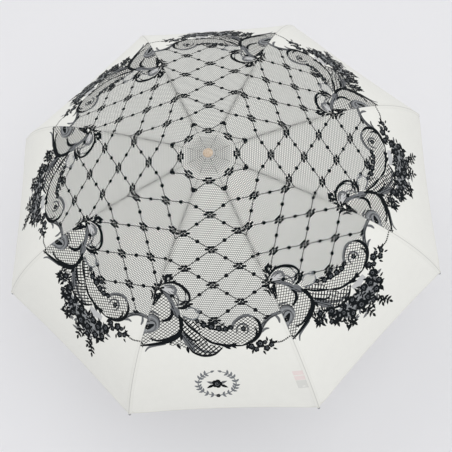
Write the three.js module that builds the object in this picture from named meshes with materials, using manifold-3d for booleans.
// Eight-rib folding parasol: telescoping shaft, two-section ribs, stretchers on a sliding runner.
// Millimetres, +Z up along the shaft, origin at the middle of the grip. Modelled open.
import * as THREE from 'three';
import { mergeVertices } from 'three/addons/utils/BufferGeometryUtils.js';
import Module from 'manifold-3d';

const wasm = await Module();
wasm.setup();

// ---- Driving dimensions ----
const RIBS = 8;
const GRIP_LENGTH = 76;
const SHAFT_OPEN = 500; // grip top to rib pivots, shaft pulled out

// A rib follows two arcs in its own plane: a flat inner one to the knee, a tighter outer one.
const INNER_ARC = 261.6;
const OUTER_ARC = 238.6;
const APEX_SLOPE = THREE.MathUtils.degToRad(7.6);
const KNEE_SLOPE = THREE.MathUtils.degToRad(16.8);
const TIP_SLOPE = THREE.MathUtils.degToRad(61.4);

const CLOTH = 0.8;
const CLOTH_HOLE = 5; // radius where the panels start, round the ferrule stem
const CORNER_SETBACK = 7; // cloth corner short of the rib's end
const HEM_HOLLOW = 5; // the hem curves in this much at mid gore
const PANEL_GAP = 0.4;

const PIVOT_RADIUS = 11;
const RIB_DEPTH = 4.0; // rib centre line below the cloth's outer face
const RIB_HALF_HEIGHT = 1.7;
const RIB_HALF_WIDTH = 1.6;
const PIN = 0.7;
const PIN_HOLE = 1.0;

const OUTER_WIRE = 1.25;
const OUTER_OFFSET = -3.6; // the outer rib runs beside the inner one when folded
const OUTER_SHORT = 2; // the wire ends this far short of the rib's end, inside the tip
const OUTER_STRAIGHTENS = 115; // distance past the knee where it starts back to the seam
const TAIL_LENGTH = 12;
const TAIL_ANGLE = THREE.MathUtils.degToRad(202.7); // from the rib's outward direction

const STRETCHER_ATTACH = 110; // along the rib from its pivot
const STRETCHER_PLANE = [2.0, 3.2];
const STRETCHER_HALF_HEIGHT = 1.5;
const STRETCHER_EYE = 0.8;
const RUNNER_DROP = 80; // runner pivots below the rib pivots when open

const LINK_PLANE = [3.7, 5.3];
const LINK_CRANK = 12;
const LINK_CRANK_ANGLE = THREE.MathUtils.degToRad(-16);
const LINK_HALF_HEIGHT = 0.9;
const LINK_EYE = 1.7;
const PIN_PROUD = 0.3; // pins stand this far out of the part they hold
const RIB_PIN_HALF = 2.6;
const STRETCHER_PIN = [1.1, 4.1];

const UPPER_TUBE = { outer: 4.6, inner: 3.8, length: 300 };
const LOWER_TUBE = { outer: 5.6, inner: 4.9, aboveGrip: 240, inGrip: 38 };
const SOCKET_PLAY = 0.3;
const RUNNER_BORE = 5.95;
const HUB_RADIUS = 13;
const HUB_STEPS = 32;
const SLOT_HEIGHT = 12;
const CROWN_SLOT = { halfWidth: 1.95, innerRadius: 8 };
const RUNNER_SLOT = { halfWidth: 0.95, innerRadius: 8.6 };
const PIN_SEAT = 1.3; // the pins' holes run this far into the hub on both sides of a slot
const CROWN_ABOVE_PIVOT = 1.5;
const CROWN_ROOF = 6.5;
const TUBE_GAP = 0.3; // between the crown's roof and the upper tube's end

// Turned outlines: pairs of radius and height.
const CROWN_PROFILE = [ // heights below the crown's top
  [2.6, 0], [2.6, -CROWN_ROOF], [4.9, -CROWN_ROOF], [4.9, -18], [7.2, -18], [8, -8],
  [HUB_RADIUS, -6], [HUB_RADIUS, 0], [2.6, 0],
];
const RUNNER_PROFILE = [ // heights from the stretcher pivots
  [RUNNER_BORE, 3], [RUNNER_BORE, -24], [9.6, -24], [10.5, -19], [9.6, -14], [8.2, -12],
  [8.2, -5], [HUB_RADIUS, -3], [HUB_RADIUS, 3], [RUNNER_BORE, 3],
];
const TIP_PROFILE = [ // heights past the rib's end
  [0, -0.5], [1.55, -0.5], [1.55, -6], [2.4, -6], [2.4, 0.6], [1.8, 1.9], [0, 2.5],
];
const FERRULE = { stem: 2.2, stemLength: 15, rim: 9, seat: 1.3, lip: 0.8, shoulder: [8, 2.2],
  crest: [5, 3.4], top: 4 };
const WASHER = { inner: 2.6, outer: 11, seat: 0.4, thickness: 0.5 };
const GRIP_BASE = 3.8; // the wooden grip starts this far above the end cap's face
const GRIP_PROFILE = [ // heights above the grip's base
  [0, 7], [4.3, 7], [4.3, 0], [11.4, 0], [12.4, 2], [12.8, 14], [12, 34], [10.4, 52],
  [9.4, 60], [9.4, 62], [10.4, 64],
];
const GRIP_TOP_PROFILE = [[10.2, -2], [9.2, 0]]; // heights from the grip's top
const END_CAP_PROFILE = [ // heights above the end cap's face
  [0, 0], [10.6, 0], [11.6, 1], [11.6, 3.5], [4, 3.5], [4, 9], [0, 9],
];
const BUTTON_SIZE = { below: 19, radius: 2.2, from: 8.2, to: 12.2, play: 0.4 };

// Sewn trim: arc lengths along the rib, distances sideways, depth under the cloth.
const LABEL = { arcs: [410, 443], sideways: [-23, -5], depth: 1.6, thickness: 0.5, steps: 3 };
const STRAP = { arcs: [392, 484], sideways: [8, 20], depth: 1.6, thickness: 0.6, steps: 5 };
const SNAP = { fromEnd: 8, gap: 0.5 };
const SNAP_PROFILE = [[0, -2], [3, -2], [4.5, -0.8], [4.5, 0], [0, 0]];
const LABEL_RIB = 7;
const STRAP_RIB = 5;

// ---- Derived levels ----
const GRIP_TOP = GRIP_LENGTH / 2;
const PIVOT_Z = GRIP_TOP + SHAFT_OPEN;
const HALF_GORE = Math.PI / RIBS;
const GORE_TAN = Math.tan(HALF_GORE);
const apexRise = RIB_DEPTH * Math.cos(APEX_SLOPE) + PIVOT_RADIUS * Math.tan(APEX_SLOPE);
const APEX_Z = PIVOT_Z + apexRise;
const RIB_ARC = INNER_ARC + OUTER_ARC;
const RUNNER_Z = PIVOT_Z - RUNNER_DROP;

// ---- Rib curve: point on the cloth over a rib, at arc length s from the shaft's axis ----
function arcPoint(from, slopeStart, slopeEnd, length, along) {
  const bend = (slopeEnd - slopeStart) / length;
  const slope = slopeStart + bend * along;
  const r = from.r + (Math.sin(slope) - Math.sin(slopeStart)) / bend;
  const z = from.z + (Math.cos(slope) - Math.cos(slopeStart)) / bend;
  return { r, z, slope };
}

function clothAt(s) {
  const apex = { r: 0, z: APEX_Z };
  if (s <= INNER_ARC) return arcPoint(apex, APEX_SLOPE, KNEE_SLOPE, INNER_ARC, s);
  const knee = arcPoint(apex, APEX_SLOPE, KNEE_SLOPE, INNER_ARC, INNER_ARC);
  return arcPoint(knee, KNEE_SLOPE, TIP_SLOPE, OUTER_ARC, s - INNER_ARC);
}

// A point below the cloth, in the rib's plane.
function underCloth(s, depth) {
  const { r, z, slope } = clothAt(s);
  return new THREE.Vector2(r - depth * Math.sin(slope), z - depth * Math.cos(slope));
}

// Arc length at which a line at this depth under the cloth reaches a radius.
function arcAtRadius(radius, depth) {
  let low = 0;
  let high = INNER_ARC;
  for (let i = 0; i < 40; i += 1) {
    const mid = (low + high) / 2;
    if (underCloth(mid, depth).x < radius) low = mid;
    else high = mid;
  }
  return low;
}

const PIVOT_ARC = arcAtRadius(PIVOT_RADIUS, RIB_DEPTH);
const RIB_PIVOT = underCloth(PIVOT_ARC, RIB_DEPTH);
const ATTACH = underCloth(PIVOT_ARC + STRETCHER_ATTACH, RIB_DEPTH);
const KNEE = underCloth(INNER_ARC, RIB_DEPTH);
const RUNNER_PIVOT = new THREE.Vector2(PIVOT_RADIUS, RUNNER_Z);

function pointFrom(centre, distance, angle) {
  return new THREE.Vector2(
    centre.x + distance * Math.cos(angle),
    centre.y + distance * Math.sin(angle),
  );
}

const TAIL = pointFrom(KNEE, TAIL_LENGTH, TAIL_ANGLE - KNEE_SLOPE);
const towardRunner = Math.atan2(RUNNER_PIVOT.y - ATTACH.y, RUNNER_PIVOT.x - ATTACH.x);
const LINK_END = pointFrom(ATTACH, LINK_CRANK, towardRunner + LINK_CRANK_ANGLE);

// ---- Shape helpers. The rib's plane is X (outward) and Z; Y is sideways ----
function toSolid(geometry) {
  const bare = geometry.clone();
  bare.deleteAttribute('normal');
  bare.deleteAttribute('uv');
  const welded = mergeVertices(bare, 1e-4);
  return new wasm.Manifold(new wasm.Mesh({
    numProp: 3,
    vertProperties: Float32Array.from(welded.attributes.position.array),
    triVerts: Uint32Array.from(welded.index.array),
  }));
}

function toGeometry(solid) {
  const mesh = solid.getMesh();
  const geometry = new THREE.BufferGeometry();
  const position = new THREE.BufferAttribute(Float32Array.from(mesh.vertProperties), 3);
  geometry.setAttribute('position', position);
  geometry.setIndex(new THREE.BufferAttribute(Uint32Array.from(mesh.triVerts), 1));
  return geometry;
}

function join(...geometries) {
  return toGeometry(geometries.map(toSolid).reduce((a, b) => a.add(b)));
}

function cut(geometry, ...tools) {
  return toGeometry(tools.map(toSolid).reduce((a, b) => a.subtract(b), toSolid(geometry)));
}

function lathe(points, segments = 24) {
  const profile = points.map(([r, z]) => new THREE.Vector2(r, z));
  return new THREE.LatheGeometry(profile, segments).rotateX(Math.PI / 2);
}

function tube(outer, inner, bottom, top, segments = 24) {
  return lathe([[inner, bottom], [outer, bottom], [outer, top], [inner, top], [inner, bottom]],
    segments);
}

// A flat plate from an outline in the rib's plane, between two sideways offsets.
function plate(outline, [from, to], holes = []) {
  const shape = new THREE.Shape(outline);
  for (const { centre, radius } of holes) {
    shape.holes.push(new THREE.Path().absarc(centre.x, centre.y, radius, 0, Math.PI * 2, true));
  }
  const settings = { depth: to - from, bevelEnabled: false, curveSegments: 4 };
  return new THREE.ExtrudeGeometry(shape, settings).rotateX(Math.PI / 2).translate(0, to, 0);
}

function arcPoints(centre, radius, start, end, steps) {
  return Array.from({ length: steps + 1 }, (_, i) =>
    pointFrom(centre, radius, start + (end - start) * (i / steps)));
}

// Outline of a straight bar with round ends.
function barOutline(a, b, half) {
  const heading = Math.atan2(b.y - a.y, b.x - a.x);
  const quarter = Math.PI / 2;
  return [
    ...arcPoints(b, half, heading - quarter, heading + quarter, 4),
    ...arcPoints(a, half, heading + quarter, heading + 3 * quarter, 4),
  ];
}

function pin(centre, radius, [from, to], segments = 8) {
  return new THREE.CylinderGeometry(radius, radius, to - from, segments)
    .translate(centre.x, (from + to) / 2, centre.y);
}

// A closed sheet between two grids of points, rows by columns.
function sheet(top, bottom) {
  const rows = top.length;
  const columns = top[0].length;
  const flat = [...top.flat(), ...bottom.flat()];
  const at = (row, column, under) => (under ? rows * columns : 0) + row * columns + column;
  const index = [];
  const quad = (a, b, c, d) => index.push(a, b, c, a, c, d);
  for (let i = 0; i + 1 < rows; i += 1) {
    for (let j = 0; j + 1 < columns; j += 1) {
      quad(at(i, j, false), at(i + 1, j, false), at(i + 1, j + 1, false), at(i, j + 1, false));
      quad(at(i, j, true), at(i, j + 1, true), at(i + 1, j + 1, true), at(i + 1, j, true));
    }
    const last = columns - 1;
    quad(at(i, 0, false), at(i, 0, true), at(i + 1, 0, true), at(i + 1, 0, false));
    quad(at(i, last, false), at(i + 1, last, false), at(i + 1, last, true), at(i, last, true));
  }
  for (let j = 0; j + 1 < columns; j += 1) {
    const end = rows - 1;
    quad(at(0, j, false), at(0, j + 1, false), at(0, j + 1, true), at(0, j, true));
    quad(at(end, j, false), at(end, j, true), at(end, j + 1, true), at(end, j + 1, false));
  }
  const geometry = new THREE.BufferGeometry();
  const positions = new Float32Array(flat.flatMap((p) => [p.x, p.y, p.z]));
  geometry.setAttribute('position', new THREE.BufferAttribute(positions, 3));
  geometry.setIndex(index);
  return geometry;
}

// Point under the cloth of a gore: each gore is straight from rib to rib at one height.
function gorePoint(s, sideways, depth) {
  const { r, z, slope } = clothAt(s);
  return new THREE.Vector3(
    r - Math.abs(sideways) * GORE_TAN - depth * Math.sin(slope),
    sideways,
    z - depth * Math.cos(slope),
  );
}

// A patch lying under the cloth, between two arc lengths and two sideways offsets.
function patch(arcs, sideways, depth, thickness, steps) {
  const grid = (extra) => Array.from({ length: steps + 1 }, (_, i) => {
    const s = arcs[0] + (arcs[1] - arcs[0]) * (i / steps);
    return sideways.map((t) => gorePoint(s, t, depth + extra));
  });
  return sheet(grid(0), grid(thickness));
}

// ---- Canopy ----
function panelRow(fraction, start, depth) {
  const half = Math.cos(HALF_GORE) * Math.sin(HALF_GORE);
  return [-1, 0, 1].map((side) => {
    const end = RIB_ARC - CORNER_SETBACK - HEM_HOLLOW * Math.abs(side);
    const s = start + (end - start) * fraction;
    const radius = underCloth(s, depth).x;
    return gorePoint(s, side * (radius * half - PANEL_GAP / 2), depth);
  });
}

function canopyPanel() {
  const steps = 16;
  const grid = (depth) => Array.from({ length: steps + 1 }, (_, i) =>
    panelRow(i / steps, CLOTH_HOLE, depth));
  return sheet(grid(0), grid(CLOTH));
}

// ---- Ribs ----
function ribOutline(from, to, steps) {
  const edge = (depth) => Array.from({ length: steps + 1 }, (_, i) =>
    underCloth(from + (to - from) * (i / steps), depth));
  const quarter = Math.PI / 2;
  const outer = -clothAt(to).slope;
  const inner = -clothAt(from).slope;
  const outerEnd = underCloth(to, RIB_DEPTH);
  const innerEnd = underCloth(from, RIB_DEPTH);
  return [
    ...edge(RIB_DEPTH + RIB_HALF_HEIGHT),
    ...arcPoints(outerEnd, RIB_HALF_HEIGHT, outer - quarter, outer + quarter, 4).slice(1, -1),
    ...edge(RIB_DEPTH - RIB_HALF_HEIGHT).reverse(),
    ...arcPoints(innerEnd, RIB_HALF_HEIGHT, inner + quarter, inner + 3 * quarter, 4).slice(1, -1),
  ];
}

function innerRib() {
  const bar = plate(ribOutline(PIVOT_ARC, INNER_ARC, 8), [-RIB_HALF_WIDTH, RIB_HALF_WIDTH],
    [{ centre: KNEE, radius: PIN_HOLE }]);
  return join(bar, pin(RIB_PIVOT, PIN, [-RIB_PIN_HALF, RIB_PIN_HALF]));
}

class OuterRibLine extends THREE.Curve {
  getPoint(fraction, target = new THREE.Vector3()) {
    const along = fraction * (OUTER_ARC - OUTER_SHORT);
    const centre = underCloth(INNER_ARC + along, RIB_DEPTH);
    const back = (along - OUTER_STRAIGHTENS) / (OUTER_ARC - OUTER_STRAIGHTENS);
    const eased = THREE.MathUtils.smoothstep(back, 0, 1);
    return target.set(centre.x, OUTER_OFFSET * (1 - eased), centre.y);
  }
}

function outerRib() {
  const origin = new THREE.Vector2();
  const section = new THREE.Shape(arcPoints(origin, OUTER_WIRE, 0, Math.PI * 2, 6).slice(0, -1));
  const wire = new THREE.ExtrudeGeometry(section, {
    steps: 14, extrudePath: new OuterRibLine(), bevelEnabled: false,
  });
  const lever = [OUTER_OFFSET - OUTER_WIRE, OUTER_OFFSET + OUTER_WIRE];
  const tail = plate(barOutline(KNEE, TAIL, RIB_HALF_HEIGHT - 0.05), lever);
  const kneePin = pin(KNEE, PIN, [lever[0], RIB_HALF_WIDTH + PIN_PROUD]);
  const tailPin = pin(TAIL, PIN, [lever[0], LINK_PLANE[1] + PIN_PROUD]);
  return join(wire, tail, kneePin, tailPin);
}

// A small thimble over the end of the outer rib, which the cloth's corner is sewn to.
function ribTip() {
  const end = clothAt(RIB_ARC);
  const centre = underCloth(RIB_ARC, RIB_DEPTH);
  return lathe(TIP_PROFILE, 10)
    .rotateY(Math.PI / 2 + end.slope)
    .translate(centre.x, 0, centre.y);
}

function stretcher() {
  const bar = plate(barOutline(RUNNER_PIVOT, ATTACH, STRETCHER_HALF_HEIGHT), STRETCHER_PLANE,
    [{ centre: ATTACH, radius: STRETCHER_EYE }]);
  return join(bar, pin(RUNNER_PIVOT, PIN, STRETCHER_PIN));
}

function controlLink() {
  const bar = barOutline(TAIL, LINK_END, LINK_HALF_HEIGHT);
  const eye = arcPoints(TAIL, LINK_EYE, 0, Math.PI * 2, 10).slice(0, -1);
  const body = join(plate(bar, LINK_PLANE), plate(eye, LINK_PLANE));
  return cut(body, pin(TAIL, PIN_HOLE, [LINK_PLANE[0] - 1, LINK_PLANE[1] + 1], 8));
}

// ---- Hubs: one slot and one pin hole for each rib or stretcher ----
function hubCuts(level, sideways, { halfWidth, innerRadius }) {
  const tools = [];
  for (let i = 0; i < RIBS; i += 1) {
    const angle = i * 2 * HALF_GORE;
    const length = HUB_RADIUS + 2 - innerRadius;
    const slot = new THREE.BoxGeometry(length, halfWidth * 2, SLOT_HEIGHT)
      .translate(innerRadius + length / 2, sideways, level);
    const reach = halfWidth + PIN_SEAT;
    const hole = pin(new THREE.Vector2(PIVOT_RADIUS, level), PIN_HOLE,
      [sideways - reach, sideways + reach]);
    tools.push(slot.rotateZ(angle), hole.rotateZ(angle));
  }
  return tools;
}

const raise = (profile, height) => profile.map(([radius, z]) => [radius, height + z]);

function crown() {
  const body = lathe(raise(CROWN_PROFILE, RIB_PIVOT.y + CROWN_ABOVE_PIVOT), HUB_STEPS);
  return cut(body, ...hubCuts(RIB_PIVOT.y, 0, CROWN_SLOT));
}

const BUTTON_Z = RUNNER_Z - BUTTON_SIZE.below;

function radialPin(radius, from, to, z, segments) {
  return new THREE.CylinderGeometry(radius, radius, to - from, segments)
    .rotateZ(Math.PI / 2)
    .translate((from + to) / 2, 0, z)
    .rotateZ(HALF_GORE);
}

function runner() {
  const body = lathe(raise(RUNNER_PROFILE, RUNNER_Z), HUB_STEPS);
  const sideways = (STRETCHER_PLANE[0] + STRETCHER_PLANE[1]) / 2;
  const { radius, play, to } = BUTTON_SIZE;
  const window = radialPin(radius + play, RUNNER_BORE / 2, to + 2, BUTTON_Z, 16);
  return cut(body, ...hubCuts(RUNNER_Z, sideways, RUNNER_SLOT), window);
}

function runnerButton() {
  return radialPin(BUTTON_SIZE.radius, BUTTON_SIZE.from, BUTTON_SIZE.to, BUTTON_Z, 16);
}

// ---- Shaft, ferrule and handle ----
function ferruleCap() {
  const { stem, stemLength, rim, seat, lip, shoulder, crest, top } = FERRULE;
  const edge = APEX_Z - rim * Math.tan(APEX_SLOPE) + seat;
  return lathe([
    [0, APEX_Z - stemLength], [stem, APEX_Z - stemLength], [stem, APEX_Z + seat], [rim, edge],
    [rim, edge + lip], [shoulder[0], edge + shoulder[1]], [crest[0], APEX_Z + crest[1]],
    [0, APEX_Z + top],
  ]);
}

function topWasher() {
  const { inner, outer, seat, thickness } = WASHER;
  const under = (r) => APEX_Z - r * Math.tan(APEX_SLOPE) + seat;
  return lathe([
    [inner, under(inner)], [outer, under(outer)], [outer, under(outer) + thickness],
    [inner, under(inner) + thickness], [inner, under(inner)],
  ]);
}

function upperTube() {
  const top = RIB_PIVOT.y + CROWN_ABOVE_PIVOT - CROWN_ROOF - TUBE_GAP;
  return tube(UPPER_TUBE.outer, UPPER_TUBE.inner, PIVOT_Z - UPPER_TUBE.length, top);
}

function lowerTube() {
  const { outer, inner, aboveGrip, inGrip } = LOWER_TUBE;
  return tube(outer, inner, GRIP_TOP - inGrip, GRIP_TOP + aboveGrip);
}

function handle() {
  const bore = LOWER_TUBE.outer + SOCKET_PLAY;
  const socket = GRIP_TOP - LOWER_TUBE.inGrip - 0.5;
  return lathe([
    ...raise(GRIP_PROFILE, GRIP_BASE - GRIP_TOP), ...raise(GRIP_TOP_PROFILE, GRIP_TOP),
    [bore, GRIP_TOP], [bore, socket], [0, socket],
  ]);
}

function handleEndCap() {
  return lathe(raise(END_CAP_PROFILE, -GRIP_TOP));
}

// ---- Sewn trim ----
function trimPatch({ arcs, sideways, depth, thickness, steps }) {
  return patch(arcs, sideways, depth, thickness, steps);
}

function tieSnap() {
  const s = STRAP.arcs[0] + SNAP.fromEnd;
  const middle = (STRAP.sideways[0] + STRAP.sideways[1]) / 2;
  const seat = gorePoint(s, middle, STRAP.depth + STRAP.thickness + SNAP.gap);
  const slope = clothAt(s).slope;
  return lathe(SNAP_PROFILE, 16)
    .rotateY(Math.atan(Math.tan(slope) / Math.cos(HALF_GORE)))
    .rotateZ(HALF_GORE)
    .translate(seat.x, seat.y, seat.z);
}

// ---- Materials ----
const paint = (color, roughness, metalness) =>
  new THREE.MeshStandardMaterial({ color, roughness, metalness });
const cloth = paint(0xeeede6, 0.85, 0);
const steel = paint(0x6f7378, 0.4, 1);
const brightSteel = paint(0xc4c7c9, 0.25, 1);
const whitePlastic = paint(0xe6e4dd, 0.5, 0);
const wood = paint(0xd9b48c, 0.55, 0);
const tape = paint(0xdedcd6, 0.9, 0);

// ---- Assembly ----
const parasol = new THREE.Group();

function place(name, geometry, material, angle = 0) {
  const mesh = new THREE.Mesh(geometry, material);
  mesh.name = name;
  mesh.rotation.z = angle;
  parasol.add(mesh);
}

const ribAngle = (rib) => (rib - 1) * 2 * HALF_GORE;
const perRib = [
  ['canopy_panel', canopyPanel(), cloth],
  ['inner_rib', innerRib(), steel],
  ['outer_rib', outerRib(), steel],
  ['rib_tip', ribTip(), brightSteel],
  ['stretcher', stretcher(), steel],
  ['control_link', controlLink(), steel],
];
for (const [name, geometry, material] of perRib) {
  for (let rib = 1; rib <= RIBS; rib += 1) {
    place(`${name}_${rib}`, geometry, material, ribAngle(rib));
  }
}

place('ferrule_cap', ferruleCap(), wood);
place('top_washer', topWasher(), cloth);
place('crown', crown(), whitePlastic);
place('upper_tube', upperTube(), brightSteel);
place('lower_tube', lowerTube(), brightSteel);
place('runner', runner(), whitePlastic);
place('runner_button', runnerButton(), brightSteel);
place('handle', handle(), wood);
place('handle_end_cap', handleEndCap(), brightSteel);
place('care_label', trimPatch(LABEL), tape, ribAngle(LABEL_RIB));
place('tie_strap', trimPatch(STRAP), cloth, ribAngle(STRAP_RIB));
place('tie_snap', tieSnap(), brightSteel, ribAngle(STRAP_RIB));

export default parasol;
